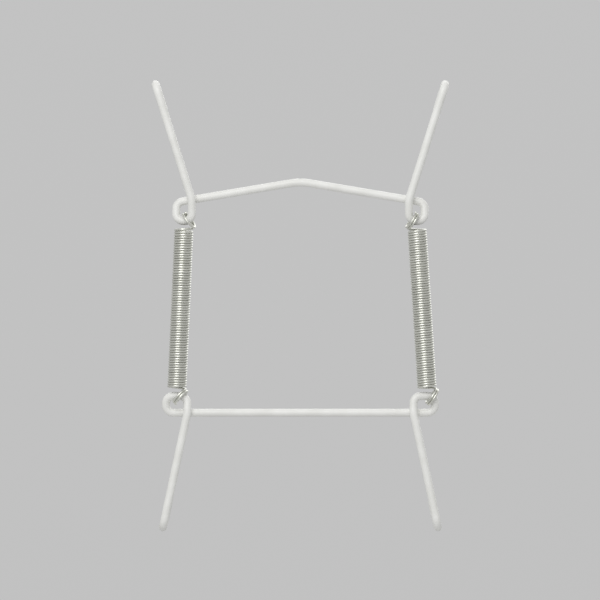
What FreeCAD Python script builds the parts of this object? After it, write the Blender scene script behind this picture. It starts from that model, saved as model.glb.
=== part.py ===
import FreeCAD, Part
import Sketcher
import math
import os

# Wire plate hanger, seen from the wall side: X to the right, Y towards the plate, Z up.
# The origin is the underside of the upper crossbar's peak, where the nail carries the hanger.
# Two bent wires grip the plate's rim with four hooks, and two extension springs draw them together.

DRIVING_SIZES = (
    ("wire_diameter", 2.0, "coated wire, outside"),
    ("tip_rounding", 0.8, "rounding of the cut wire ends"),
    ("crossing_gap", 0.2, "between prong and crossbar where an eye closes"),
    ("eye_bend_radius", 1.95, "bends round each eye, centre line"),
    ("prong_bend_radius", 6.0, "slight bend from eye to prong, centre line"),
    ("saddle_slope", 9.5, "fall of the upper crossbar from its peak, degrees"),
    ("saddle_bend_radius", 14.5, "bend at the peak, centre line"),
    ("upper_eye_spread", 58.2, "between the upper eyes' centres"),
    ("upper_eye_width", 3.95, "upper eye, centre line to centre line"),
    ("upper_eye_height", 5.0, "upper eye, centre line to centre line"),
    ("upper_prong_tilt", 17.5, "from upright, degrees"),
    ("upper_prong_length", 30.3, "from the crossing to the hook's corner"),
    ("lower_eye_spread", 61.9, "between the lower eyes' centres"),
    ("lower_eye_width", 5.4, "lower eye, centre line to centre line"),
    ("lower_eye_height", 4.2, "lower eye, centre line to centre line"),
    ("lower_prong_tilt", 12.1, "from upright, degrees"),
    ("lower_prong_length", 29.3, "from the crossing to the hook's corner"),
    ("hook_gap", 8.0, "clear width inside each rim hook"),
    ("hook_bend_radius", 2.5, "the hook's two bends, centre line"),
    ("hook_tip_length", 7.0, "from the hook's corner to its tip"),
    ("spring_outer_diameter", 4.85, "outside of the coils"),
    ("spring_wire_diameter", 0.6, "bright spring wire"),
    ("spring_pitch", 0.62, "turn to turn, close wound"),
    ("spring_turns", 64.0, "turns between the two end loops"),
    ("spring_twist", 12.0, "turn about the spring's axis, its loops square to the sloping eyes, degrees"),
    ("loop_turns", 2.0, "strands side by side in each end loop"),
    ("loop_rise", 0.25, "from the coil's last turn to the fold of its end loop"),
    ("loop_tilt", 54.0, "slope of an end loop square to its eye, degrees from level"),
    ("askew_loop_tilt", 44.0, "slope of the left spring's lower loop, degrees from level"),
    ("askew_seat_tilt", 75.0, "place of that loop round its eye's bend, degrees from level"),
    ("seat_gap", 0.55, "between the far end of a loop and its eye"),
)

doc = FreeCAD.newDocument("wire_plate_hanger")
sheet = doc.addObject("Spreadsheet::Sheet", "sizes")
for row, (alias, value, note) in enumerate(DRIVING_SIZES, start=1):
    sheet.set(f"A{row}", alias)
    sheet.set(f"B{row}", str(value))
    sheet.set(f"C{row}", note)
    sheet.setAlias(f"B{row}", alias)
doc.recompute()


def size(alias):
    """One driving dimension, read from the sheet."""
    return float(getattr(sheet, alias))


def vector(x, y, z):
    return FreeCAD.Vector(x, y, z)


wire_radius = size("wire_diameter") / 2
eye_bend = size("eye_bend_radius")

# An eye steps from its crossbar to its prong, nearer the wall, in three equal parts
eye_depth = size("wire_diameter") + size("crossing_gap")
outer_corner_y = -eye_depth / 3
inner_corner_y = -eye_depth * 2 / 3

coil_radius = (size("spring_outer_diameter") - size("spring_wire_diameter")) / 2
coil_bore_radius = coil_radius - size("spring_wire_diameter") / 2


# Places of the upper wire

saddle_slope = math.radians(size("saddle_slope"))
saddle_peak_z = wire_radius + size("saddle_bend_radius") * (1 / math.cos(saddle_slope) - 1)
upper_eye_x = size("upper_eye_spread") / 2
upper_inner_x = upper_eye_x - size("upper_eye_width") / 2
upper_outer_x = upper_eye_x + size("upper_eye_width") / 2


def upper_crossbar_z(x):
    """Height of the upper crossbar's centre line beside its peak."""
    return saddle_peak_z - x * math.tan(saddle_slope)


upper_eye_bottom_z = upper_crossbar_z(upper_eye_x) - size("upper_eye_height")


# Places of the springs and, hung from them, of the lower wire

lower_eye_x = size("lower_eye_spread") / 2
lower_inner_x = lower_eye_x - size("lower_eye_width") / 2
lower_outer_x = lower_eye_x + size("lower_eye_width") / 2

loop_width = size("loop_turns") * size("spring_pitch")
spring_twist = math.radians(size("spring_twist"))


class EndLoop:
    """A spring's end loop, folded up about the side of the coil where its wire leaves the spring.

    corner is the centre of the eye bend that the loop hangs on, and seat_tilt its place round that
    bend. outward is +1 or -1 for the direction in X from the fold to the loop's far end, and upward
    is +1 or -1 in Z.
    """

    def __init__(self, corner, outward, upward, seat_tilt, tilt):
        def sloped(angle, twist):
            level = outward * math.cos(angle)
            return vector(level * math.cos(twist), level * math.sin(twist), upward * math.sin(angle))

        along = sloped(tilt, spring_twist)
        self.axis = sloped(tilt + math.pi / 2, spring_twist)
        askew = abs(seat_tilt - tilt)
        wire_room = wire_radius / math.cos(askew) + loop_width / 2 * math.tan(askew)
        play = coil_bore_radius - wire_room - size("seat_gap")
        seat = corner - sloped(seat_tilt, 0) * eye_bend
        self.center = seat - along * play
        self.fold = self.center - along * coil_radius - self.axis * (loop_width / 2)
        self.toward_coil = sloped(0, spring_twist)


loop_tilt = math.radians(size("loop_tilt"))


def upper_loop():
    corner = vector(upper_inner_x + eye_bend, inner_corner_y, upper_eye_bottom_z + eye_bend)
    return EndLoop(corner, 1, 1, loop_tilt, loop_tilt)


def lower_loop(eye_top_z, turned_out):
    """Lower end loop on the eye's inner corner or, turned out, on its outer corner."""
    corner_z = eye_top_z - eye_bend
    if turned_out:
        corner = vector(lower_outer_x - eye_bend, outer_corner_y, corner_z)
        return EndLoop(corner, -1, -1, loop_tilt, loop_tilt)
    corner = vector(lower_inner_x + eye_bend, inner_corner_y, corner_z)
    seat_tilt = math.radians(size("askew_seat_tilt"))
    return EndLoop(corner, 1, -1, seat_tilt, math.radians(size("askew_loop_tilt")))


spring_length = size("spring_turns") * size("spring_pitch")
fold_to_fold = spring_length + 2 * size("loop_rise")
drop_at_zero = upper_loop().fold - lower_loop(0.0, False).fold
sideways = math.hypot(drop_at_zero.x, drop_at_zero.y)
lower_eye_top_z = drop_at_zero.z - math.sqrt(fold_to_fold ** 2 - sideways ** 2)


# Bent wires

def mirrored(corners):
    """The left half of a wire, from its tip to the middle."""
    return [(vector(-point.x, point.y, point.z), radius) for point, radius in reversed(corners)]


def half_wire(inner_x, outer_x, bar_z_inner, bar_z_outer, eye_end_z, tilt, prong_length):
    """Corners with their bend radii from beside the crossbar's middle to the right-hand hook's tip.

    The eye is wound from the crossbar, at Y = 0, to the prong, which crosses it on the wall's side.
    """
    upward = 1 if eye_end_z < bar_z_outer else -1
    prong = vector(math.sin(tilt), 0, upward * math.cos(tilt))
    crossing = vector(inner_x, -eye_depth, bar_z_inner)
    hook_start = crossing + prong * prong_length
    hook_end = hook_start + vector(0, size("hook_gap") + size("wire_diameter"), 0)
    return [
        (vector(outer_x, 0, bar_z_outer), eye_bend),
        (vector(outer_x, outer_corner_y, eye_end_z), eye_bend),
        (vector(inner_x, inner_corner_y, eye_end_z), eye_bend),
        (crossing, size("prong_bend_radius")),
        (hook_start, size("hook_bend_radius")),
        (hook_end, size("hook_bend_radius")),
        (hook_end - prong * size("hook_tip_length"), 0.0),
    ]


def bent_path(corners):
    """A wire's centre line: straight runs joined by an arc tangent to both at each corner."""
    edges = []
    start = corners[0][0]
    for (before, _), (corner, radius), (after, _) in zip(corners, corners[1:], corners[2:]):
        to_before = (before - corner).normalize()
        to_after = (after - corner).normalize()
        half_turn = (math.pi - to_before.getAngle(to_after)) / 2
        inward = (to_before + to_after).normalize()
        tangent_length = radius * math.tan(half_turn)
        arc_start = corner + to_before * tangent_length
        arc_middle = corner + inward * (radius / math.cos(half_turn) - radius)
        arc_end = corner + to_after * tangent_length
        edges.append(Part.LineSegment(start, arc_start).toShape())
        edges.append(Part.Arc(arc_start, arc_middle, arc_end).toShape())
        start = arc_end
    edges.append(Part.LineSegment(start, corners[-1][0]).toShape())
    return Part.Wire(edges)


def bent_wire(name, corners):
    """A round wire swept along its bent centre line, with both cut ends rounded."""
    path = doc.addObject("Part::Feature", name + "_path")
    path.Shape = bent_path(corners)
    tip, after_tip = corners[0][0], corners[1][0]
    section = doc.addObject("Part::Circle", name + "_section")
    section.setExpression("Radius", "sizes.wire_diameter / 2")
    section.Placement = FreeCAD.Placement(tip, FreeCAD.Rotation(vector(0, 0, 1), after_tip - tip))
    sweep = doc.addObject("Part::Sweep", name + "_sweep")
    sweep.Sections = [section]
    sweep.Spine = (path, [f"Edge{number}" for number in range(1, len(path.Shape.Edges) + 1)])
    sweep.Solid = True
    doc.recompute()
    ends = (tip, corners[-1][0])
    end_edges = [
        number
        for number, edge in enumerate(sweep.Shape.Edges, start=1)
        if any((edge.CenterOfMass - end).Length < wire_radius / 2 for end in ends)
    ]
    rounded = doc.addObject("Part::Fillet", name)
    rounded.Base = sweep
    rounded.Edges = [(number, size("tip_rounding"), size("tip_rounding")) for number in end_edges]
    rounded.Label = name
    return rounded


def upper_wire():
    right = half_wire(
        upper_inner_x,
        upper_outer_x,
        upper_crossbar_z(upper_inner_x),
        upper_crossbar_z(upper_outer_x),
        upper_eye_bottom_z,
        math.radians(size("upper_prong_tilt")),
        size("upper_prong_length"),
    )
    peak = (vector(0, 0, saddle_peak_z), size("saddle_bend_radius"))
    return bent_wire("upper_wire", mirrored(right) + [peak] + right)


def lower_wire():
    crossbar_z = lower_eye_top_z - size("lower_eye_height")
    right = half_wire(
        lower_inner_x,
        lower_outer_x,
        crossbar_z,
        crossbar_z,
        lower_eye_top_z,
        math.radians(size("lower_prong_tilt")),
        size("lower_prong_length"),
    )
    return bent_wire("lower_wire", mirrored(right) + right)


# Springs

COIL_OUTSIDE = "sizes.spring_outer_diameter / 2"
COIL_MIDDLE = "(sizes.spring_outer_diameter - sizes.spring_wire_diameter) / 2"
COIL_BORE = "sizes.spring_outer_diameter / 2 - sizes.spring_wire_diameter"
WIRE_RADIUS = "sizes.spring_wire_diameter / 2"
CLOSE_PITCH = "sizes.spring_pitch"

# Grooves between the turns and edges of the bore lie on an octagon about the round spring wire
HALF_SIDE = f"{WIRE_RADIUS} * tan(22.5)"
GROOVE = f"{COIL_MIDDLE} + {HALF_SIDE}"
BORE_EDGE = f"{COIL_MIDDLE} - {HALF_SIDE}"


def origin_feature(body, role):
    return next(feature for feature in body.Origin.OriginFeatures if feature.Role == role)


def section_sketch(body, name, corners):
    """A closed outline beside the Z axis, each corner's radius and height bound to the sheet."""
    sketch = body.newObject("Sketcher::SketchObject", name)
    sketch.AttachmentSupport = [(origin_feature(body, "XZ_Plane"), "")]
    sketch.MapMode = "FlatFace"
    points = [vector(*(sheet.evalExpression(part) for part in corner), 0) for corner in corners]
    for number, point in enumerate(points):
        following = (number + 1) % len(points)
        sketch.addGeometry(Part.LineSegment(point, points[following]), False)
    for number, (radius, height) in enumerate(corners):
        following = (number + 1) % len(points)
        sketch.addConstraint(Sketcher.Constraint("Coincident", number, 2, following, 1))
        for direction, value, bound in (
            ("DistanceX", points[number].x, radius),
            ("DistanceY", points[number].y, height),
        ):
            constraint = sketch.addConstraint(Sketcher.Constraint(direction, -1, 1, number, 1, value))
            sketch.setExpression(f"Constraints[{constraint}]", bound)
    return sketch


def revolved(body, name, sketch):
    feature = body.newObject("PartDesign::Revolution", name)
    feature.Profile = sketch
    feature.ReferenceAxis = (sketch, ["V_Axis"])
    feature.Angle = 360
    return feature


def coil(name, center, axis, steps, pitch):
    """Touching turns of a spring as one tube with a sharp ridge for each turn, open through the middle.

    steps is the number of pitches from the first turn to the last. Like pitch, it is an expression
    of the sheet.
    """
    body = doc.addObject("PartDesign::Body", name)
    length = f"({steps}) * {pitch}"
    half_pitch = f"{pitch} / 2"
    wall = section_sketch(
        body,
        name + "_wall_outline",
        (
            (COIL_BORE, f"-{HALF_SIDE}"),
            (BORE_EDGE, f"-{half_pitch}"),
            (GROOVE, f"-{half_pitch}"),
            (GROOVE, f"{length} + {half_pitch}"),
            (BORE_EDGE, f"{length} + {half_pitch}"),
            (COIL_BORE, f"{length} + {HALF_SIDE}"),
        ),
    )
    revolved(body, name + "_wall", wall)
    turn = section_sketch(
        body,
        name + "_turn_outline",
        (
            (COIL_MIDDLE, f"-{half_pitch}"),
            (GROOVE, f"-{half_pitch}"),
            (COIL_OUTSIDE, "0"),
            (GROOVE, half_pitch),
            (COIL_MIDDLE, half_pitch),
        ),
    )
    first_turn = revolved(body, name + "_turn", turn)
    turns = body.newObject("PartDesign::LinearPattern", name + "_turns")
    turns.Originals = [first_turn]
    turns.Direction = (origin_feature(body, "Z_Axis"), [""])
    turns.setExpression("Length", length)
    turns.setExpression("Occurrences", f"{steps} + 1")
    body.Tip = turns
    half_length = sheet.evalExpression(length) / 2
    turned = FreeCAD.Rotation(vector(0, 0, 1), axis)
    body.Placement = FreeCAD.Placement(center - axis * half_length, turned)
    return body


def coil_line(top, bottom):
    """Middle, direction and length of the coil that has the folds of its two loops on its sides."""
    span = top.fold - bottom.fold
    straight = span / span.Length
    toward = (top.toward_coil - straight * straight.dot(top.toward_coil)).normalize()
    crossing = coil_radius * (top.toward_coil - bottom.toward_coil).Length
    lean = math.asin(crossing / span.Length)
    axis = straight * math.cos(lean) + toward * math.sin(lean)
    toward_axis = toward * math.cos(lean) - straight * math.sin(lean)
    reach = span.Length * math.cos(lean)
    middle = top.fold + toward_axis * coil_radius - axis * (reach / 2)
    return middle, axis, reach - 2 * size("loop_rise")


def spring(name, side, lower_turned_out):
    """An extension spring on the side +1 (right) or -1 (left), with its two end loops."""

    def on_side(point):
        return vector(side * point.x, point.y, point.z)

    top = upper_loop()
    bottom = lower_loop(lower_eye_top_z, lower_turned_out)
    middle, axis, length = coil_line(top, bottom)
    pitch = f"{CLOSE_PITCH} * {length / spring_length}"
    coils = [coil(name + "_body", on_side(middle), on_side(axis), "sizes.spring_turns", pitch)]
    for end, loop in (("top", top), ("bottom", bottom)):
        place = (on_side(loop.center), on_side(loop.axis))
        coils.append(coil(f"{name}_{end}_loop", *place, "sizes.loop_turns - 1", CLOSE_PITCH))
    joined = doc.addObject("Part::MultiFuse", name)
    joined.Shapes = coils
    joined.Label = name
    return joined


sub_parts = [
    upper_wire(),
    lower_wire(),
    spring("left_spring", -1, False),
    spring("right_spring", 1, True),
]
doc.recompute()

for item in doc.Objects:
    if "Invalid" in item.State or "Error" in item.State:
        raise RuntimeError(f"{item.Label} did not build: {item.State}")
for sub_part in sub_parts:
    if sub_part.Shape.isNull() or not sub_part.Shape.isValid():
        raise RuntimeError(f"{sub_part.Label} has no valid shape")
    if len(sub_part.Shape.Solids) != 1:
        raise RuntimeError(f"{sub_part.Label} is not one solid")

os.makedirs("parts", exist_ok=True)
for sub_part in sub_parts:
    sub_part.Shape.exportStep(f"parts/{sub_part.Label}.step")
    box = sub_part.Shape.BoundBox
    print(
        f"{sub_part.Label}: {sub_part.Shape.Volume:.1f} mm3,"
        f" X {box.XMin:.2f} to {box.XMax:.2f},"
        f" Y {box.YMin:.2f} to {box.YMax:.2f},"
        f" Z {box.ZMin:.2f} to {box.ZMax:.2f}"
    )
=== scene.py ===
import bpy
import math
from mathutils import Matrix, Vector


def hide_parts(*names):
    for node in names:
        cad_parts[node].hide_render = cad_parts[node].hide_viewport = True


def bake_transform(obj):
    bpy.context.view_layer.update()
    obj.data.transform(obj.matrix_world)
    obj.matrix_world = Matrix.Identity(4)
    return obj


# Wire plate hanger: two white coated wires drawn together by two bright springs.
# It is seen from the wall side, as the photograph shows it. Lengths are in metres.

MM = 0.001

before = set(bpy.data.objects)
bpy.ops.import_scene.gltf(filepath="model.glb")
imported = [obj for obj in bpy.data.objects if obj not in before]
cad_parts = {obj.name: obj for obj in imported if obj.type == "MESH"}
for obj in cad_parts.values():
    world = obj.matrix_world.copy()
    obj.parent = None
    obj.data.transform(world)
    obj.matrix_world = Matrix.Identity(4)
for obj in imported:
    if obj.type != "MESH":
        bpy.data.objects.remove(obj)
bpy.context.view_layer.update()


def add(name, data):
    """A new object in the scene."""
    thing = bpy.data.objects.new(name, data)
    bpy.context.scene.collection.objects.link(thing)
    return thing


# Springs

LEFT, RIGHT = -1, 1
OUTWARD, INWARD = 1, -1
UP, DOWN = 1, -1

# Radius to the middle of the wire
COIL_RADIUS = 2.125 * MM
SPRING_WIRE_RADIUS = 0.3 * MM
PITCH = 0.62 * MM

# The end loops are turned out of the hanger's plane by the twist and folded out of the turns by the tilt
SPRING_TWIST = math.radians(12)
LOOP_TILT = math.radians(54)
ASKEW_LOOP_TILT = math.radians(44)
LOOP_TURNS = 1.5

# The turns next to a loop stand off the others by the rise, over this many turns
LOOP_RISE = 0.25 * MM
DRAWN_OUT_TURNS = 0.5

# Middles of the end loops on the right-hand side; the left-hand ones mirror them
UPPER_LOOP = Vector((27.77, -1.50, -8.52)) * MM
LOWER_LOOP_INSIDE = Vector((29.88, -1.43, -52.66)) * MM
LOWER_LOOP_OUTSIDE = Vector((33.00, -0.70, -52.56)) * MM

STEPS_PER_TURN = 40
WIRE_SIDES = 12
CUT_END_ROUNDING = 0.08 * MM


def eased(share):
    """A smooth step from 0 to 1."""
    share = min(max(share, 0.0), 1.0)
    return share * share * (3 - 2 * share)


def coil_points(start, toward_axis, along, turns, length, rise=0.0):
    """Points of a right-handed coil that leaves start, goes round its axis and moves along it.

    rise is how far its first and its last turns stand off the others.
    """
    center = start + toward_axis * COIL_RADIUS
    points = []
    for step in range(1, round(turns * STEPS_PER_TURN) + 1):
        done = step / STEPS_PER_TURN
        ends = eased(done / DRAWN_OUT_TURNS) + eased(1 - (turns - done) / DRAWN_OUT_TURNS)
        advance = (length - 2 * rise) * done / turns + rise * ends
        turned = Matrix.Rotation(math.tau * done, 3, along) @ (start - center)
        points.append(center + turned + along * advance)
    return points


class EndLoop:
    """An end loop of a spring, folded out of the coil's turns.

    side is LEFT or RIGHT. reaching is OUTWARD for a loop that reaches away from the hanger's middle,
    or INWARD. facing is UP at the top of the spring and DOWN at its bottom.
    """

    def __init__(self, side, middle, reaching, facing, tilt):
        def sloped(angle):
            """A direction in the loop's upright plane, at an angle to the level."""
            level = reaching * math.cos(angle)
            x = side * level * math.cos(SPRING_TWIST)
            return Vector((x, level * math.sin(SPRING_TWIST), facing * math.sin(angle)))

        self.reaching = reaching
        self.reach = sloped(tilt)
        self.axis = sloped(tilt + math.pi / 2)
        self.toward_coil = sloped(0)
        center = Vector((side * middle.x, middle.y, middle.z))
        self.fold = center - self.reach * COIL_RADIUS - self.axis * PITCH

    def points(self):
        """Points from just past the fold to the cut end."""
        return coil_points(self.fold, self.reach, self.axis, LOOP_TURNS, LOOP_TURNS * PITCH)


def spring_path(top, bottom):
    """The spring's wire from the cut end of its top loop to the cut end of its bottom loop.

    Where the two folds are on opposite sides of the coil, the coil leans to meet both and has half a
    turn more.
    """
    span = bottom.fold - top.fold
    straight = span.normalized()
    toward = (top.toward_coil - straight * straight.dot(top.toward_coil)).normalized()
    lean = math.asin((top.reaching - bottom.reaching) * COIL_RADIUS / span.length)
    down = straight * math.cos(lean) - toward * math.sin(lean)
    toward_axis = toward * math.cos(lean) + straight * math.sin(lean)
    length = span.length * math.cos(lean)
    turns = round((length - 2 * LOOP_RISE) / PITCH)
    if top.reaching != bottom.reaching:
        turns += 0.5
    body = coil_points(top.fold, toward_axis, down, turns, length, LOOP_RISE)
    return top.points()[::-1] + [top.fold] + body + bottom.points()


def tube_rings(path):
    """Centre, radius and cross directions of each ring of vertices along the wire.

    A smaller ring beyond each end rounds the edge of the cut.
    """
    tangents = [(after - before).normalized() for before, after in zip(path, path[1:])]
    tangents.append(tangents[-1])
    across = tangents[0].orthogonal().normalized()
    inset = SPRING_WIRE_RADIUS - CUT_END_ROUNDING
    first = path[0] - tangents[0] * CUT_END_ROUNDING
    rings = [(first, inset, across, tangents[0].cross(across))]
    for place, before, tangent in zip(path, tangents[:1] + tangents, tangents):
        across = before.rotation_difference(tangent) @ across
        rings.append((place, SPRING_WIRE_RADIUS, across, tangent.cross(across)))
    last = path[-1] + tangents[-1] * CUT_END_ROUNDING
    rings.append((last, inset, across, tangents[-1].cross(across)))
    return rings


def tube(rings):
    """Vertices, faces and UV coordinates of the wire, with its length in U and its girth in V, in mm."""
    angles = [math.tau * side / WIRE_SIDES for side in range(WIRE_SIDES)]
    vertices = [
        center + (across * math.cos(angle) + beside * math.sin(angle)) * radius
        for center, radius, across, beside in rings
        for angle in angles
    ]
    faces = []
    coordinates = []
    length = 0.0
    side_width = math.tau * SPRING_WIRE_RADIUS / WIRE_SIDES / MM
    for ring in range(len(rings) - 1):
        reached = length + (rings[ring + 1][0] - rings[ring][0]).length / MM
        here = ring * WIRE_SIDES
        beyond = here + WIRE_SIDES
        for side in range(WIRE_SIDES):
            following = (side + 1) % WIRE_SIDES
            faces.append((here + side, here + following, beyond + following, beyond + side))
            low, high = side * side_width, (side + 1) * side_width
            coordinates += [(length, low), (length, high), (reached, high), (reached, low)]
        length = reached
    first_end = range(WIRE_SIDES - 1, -1, -1)
    last_end = range(len(vertices) - WIRE_SIDES, len(vertices))
    for end in (first_end, last_end):
        faces.append(tuple(end))
        coordinates += [(0, 0)] * WIRE_SIDES
    return vertices, faces, coordinates


def spring(name, path):
    """The spring's round wire."""
    vertices, faces, coordinates = tube(tube_rings(path))
    mesh = bpy.data.meshes.new(name)
    mesh.from_pydata(vertices, [], faces)
    mesh.shade_smooth()
    layer = mesh.uv_layers.new(name="wire")
    for corner, coordinate in zip(layer.data, coordinates):
        corner.uv = coordinate
    return add(name, mesh)


# Materials

# Most values of a noise lie between these
NOISE_RANGE = (0.35, 0.65)


def map_range(nodes, given, wanted):
    """A node that turns the given range of numbers into the wanted one."""
    node = nodes.new("ShaderNodeMapRange")
    for name, value in zip(("From Min", "From Max", "To Min", "To Max"), (*given, *wanted)):
        node.inputs[name].default_value = value
    return node


class Finish:
    """A procedural material in the making, with the nodes that it uses."""

    def __init__(self, name):
        self.material = bpy.data.materials.new(name)
        self.material.use_nodes = True
        self.nodes = self.material.node_tree.nodes
        self.shader = self.nodes["Principled BSDF"]

    def link(self, output, target):
        self.material.node_tree.links.new(output, target)

    def drive(self, name, output):
        """Feeds an input of the shader."""
        self.link(output, self.shader.inputs[name])

    def fix(self, name, value):
        """Sets an input of the shader that is the same all over."""
        self.shader.inputs[name].default_value = value

    def coordinates(self, kind):
        return self.nodes.new("ShaderNodeTexCoord").outputs[kind]

    def stretched(self, coordinates, scale):
        node = self.nodes.new("ShaderNodeMapping")
        node.inputs["Scale"].default_value = scale
        self.link(coordinates, node.inputs["Vector"])
        return node.outputs["Vector"]

    def noise(self, coordinates, scale, detail):
        node = self.nodes.new("ShaderNodeTexNoise")
        node.inputs["Scale"].default_value = scale
        node.inputs["Detail"].default_value = detail
        self.link(coordinates, node.inputs["Vector"])
        return node.outputs["Fac"]

    def colours(self, noise, low, high):
        """Colours from low to high over a noise's range."""
        node = self.nodes.new("ShaderNodeValToRGB")
        for element, position, colour in zip(node.color_ramp.elements, NOISE_RANGE, (low, high)):
            element.position = position
            element.color = (*colour, 1)
        self.link(noise, node.inputs["Fac"])
        return node.outputs["Color"]

    def numbers(self, noise, low, high):
        """Numbers from low to high over a noise's range."""
        node = map_range(self.nodes, NOISE_RANGE, (low, high))
        self.link(noise, node.inputs["Value"])
        return node.outputs["Result"]

    def bump(self, height, distance, strength, below=None):
        """A normal from a height, laid over the normal below it."""
        node = self.nodes.new("ShaderNodeBump")
        node.inputs["Distance"].default_value = distance
        node.inputs["Strength"].default_value = strength
        self.link(height, node.inputs["Height"])
        if below:
            self.link(below, node.inputs["Normal"])
        return node.outputs["Normal"]


def white_coating():
    """Dipped white plastic: a satin skin with slow swells along the wire and a faint orange peel."""
    finish = Finish("white_coating")
    place = finish.coordinates("Object")
    clouds = finish.noise(place, scale=260, detail=3)
    swells = finish.noise(place, scale=420, detail=1)
    peel = finish.noise(place, scale=2600, detail=2)
    white = finish.colours(clouds, low=(0.79, 0.79, 0.76), high=(0.84, 0.84, 0.815))
    swollen = finish.bump(swells, distance=0.12 * MM, strength=0.25)
    finish.drive("Base Color", white)
    finish.drive("Roughness", finish.numbers(peel, low=0.36, high=0.48))
    finish.drive("Normal", finish.bump(peel, distance=0.03 * MM, strength=0.3, below=swollen))
    finish.fix("IOR", 1.5)
    return finish.material


def bright_spring_wire():
    """Plated spring steel, with draw marks along the wire and duller stretches."""
    finish = Finish("bright_spring_wire")
    wire = finish.coordinates("UV")
    drawn = finish.stretched(wire, scale=(0.25, 9, 1))
    marks = finish.noise(drawn, scale=1, detail=3)
    stretches = finish.noise(wire, scale=0.16, detail=2)
    steel_grey = finish.colours(stretches, low=(0.68, 0.685, 0.63), high=(0.77, 0.775, 0.72))
    finish.drive("Base Color", steel_grey)
    finish.drive("Roughness", finish.numbers(marks, low=0.27, high=0.41))
    finish.drive("Normal", finish.bump(marks, distance=0.01 * MM, strength=0.3))
    finish.fix("Metallic", 1)
    return finish.material


def pale_paint():
    """Matt paint of the floor, clear from underneath so that the hanger shows from below."""
    finish = Finish("pale_paint")
    clouds = finish.noise(finish.coordinates("Object"), scale=30, detail=2)
    grey = finish.colours(clouds, low=(0.87, 0.87, 0.87), high=(0.88, 0.88, 0.88))
    finish.drive("Base Color", grey)
    finish.fix("Roughness", 0.9)
    finish.fix("Specular IOR Level", 0.1)
    underside = finish.nodes.new("ShaderNodeNewGeometry").outputs["Backfacing"]
    clear = finish.nodes.new("ShaderNodeBsdfTransparent")
    mix = finish.nodes.new("ShaderNodeMixShader")
    finish.link(underside, mix.inputs["Fac"])
    finish.link(finish.shader.outputs["BSDF"], mix.inputs[1])
    finish.link(clear.outputs["BSDF"], mix.inputs[2])
    finish.link(mix.outputs["Shader"], finish.nodes["Material Output"].inputs["Surface"])
    return finish.material


# The hanger: its wires are the frame's own, and its springs take the place of the ridged tubes

coating = white_coating()
for name in ("upper_wire", "lower_wire"):
    wire_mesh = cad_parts[name].data
    wire_mesh.materials.clear()
    wire_mesh.materials.append(coating)

steel = bright_spring_wire()
left_loops = (
    EndLoop(LEFT, UPPER_LOOP, OUTWARD, UP, LOOP_TILT),
    EndLoop(LEFT, LOWER_LOOP_INSIDE, OUTWARD, DOWN, ASKEW_LOOP_TILT),
)
right_loops = (
    EndLoop(RIGHT, UPPER_LOOP, OUTWARD, UP, LOOP_TILT),
    EndLoop(RIGHT, LOWER_LOOP_OUTSIDE, INWARD, DOWN, LOOP_TILT),
)
for node, (top, bottom) in (("left_spring", left_loops), ("right_spring", right_loops)):
    piece = spring(node + "_wire", spring_path(top, bottom))
    piece.data.materials.append(steel)
    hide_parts(node)
    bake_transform(piece)


# Floor, light and camera

# The photograph's middle, and the width of its view at the wires
VIEW_MIDDLE = Vector((-0.1, -1.1, -28.4)) * MM
VIEW_WIDTH = 150 * MM
CAMERA_DISTANCE = 1.6

FLOOR_HALF_WIDTH = 4
FLOOR_HEIGHT = -1.5

# Strength of the room's light from straight below and from straight above
ROOM_LIGHT = (0.46, 0.62)


def floor():
    """A pale floor far below the hanger."""
    corners = ((-1, -1), (1, -1), (1, 1), (-1, 1))
    vertices = [(x * FLOOR_HALF_WIDTH, y * FLOOR_HALF_WIDTH, FLOOR_HEIGHT) for x, y in corners]
    mesh = bpy.data.meshes.new("floor")
    mesh.from_pydata(vertices, [], [(0, 1, 2, 3)])
    mesh.materials.append(pale_paint())
    add("floor", mesh)


def softbox(name, azimuth, elevation, distance, width, height, power):
    """A soft light aimed at the hanger; azimuth 0 is the camera's side, positive to the right."""
    light = bpy.data.lights.new(name, "AREA")
    light.shape = "RECTANGLE"
    light.size = width
    light.size_y = height
    light.energy = power
    raised = Matrix.Rotation(math.radians(-elevation), 3, "X")
    away = Matrix.Rotation(math.radians(azimuth), 3, "Z") @ raised @ Vector((0, -1, 0))
    lamp = add(name, light)
    lamp.location = VIEW_MIDDLE + away * distance
    lamp.rotation_euler = (-away).to_track_quat("-Z", "Y").to_euler()


def surroundings():
    """A pale room, a little brighter above than below."""
    world = bpy.data.worlds.new("studio")
    world.use_nodes = True
    nodes, links = world.node_tree.nodes, world.node_tree.links
    background = nodes["Background"]
    background.inputs["Color"].default_value = (1, 1, 1, 1)
    direction = nodes.new("ShaderNodeTexCoord").outputs["Generated"]
    parts = nodes.new("ShaderNodeSeparateXYZ")
    level = map_range(nodes, (-1, 1), ROOM_LIGHT)
    links.new(direction, parts.inputs["Vector"])
    links.new(parts.outputs["Z"], level.inputs["Value"])
    links.new(level.outputs["Result"], background.inputs["Strength"])
    bpy.context.scene.world = world


def camera():
    """Straight at the hanger, framed as the photograph is."""
    lens = bpy.data.cameras.new("camera")
    lens.lens = lens.sensor_width * CAMERA_DISTANCE / VIEW_WIDTH
    body = add("camera", lens)
    body.location = VIEW_MIDDLE - Vector((0, CAMERA_DISTANCE, 0))
    body.rotation_euler = (math.pi / 2, 0, 0)
    bpy.context.scene.camera = body


floor()
softbox("key", azimuth=-16, elevation=32, distance=0.8, width=0.53, height=0.8, power=3.3)
softbox("back", azimuth=164, elevation=30, distance=0.8, width=0.9, height=0.9, power=3.0)
surroundings()
camera()
bpy.context.scene.view_settings.view_transform = "Standard"
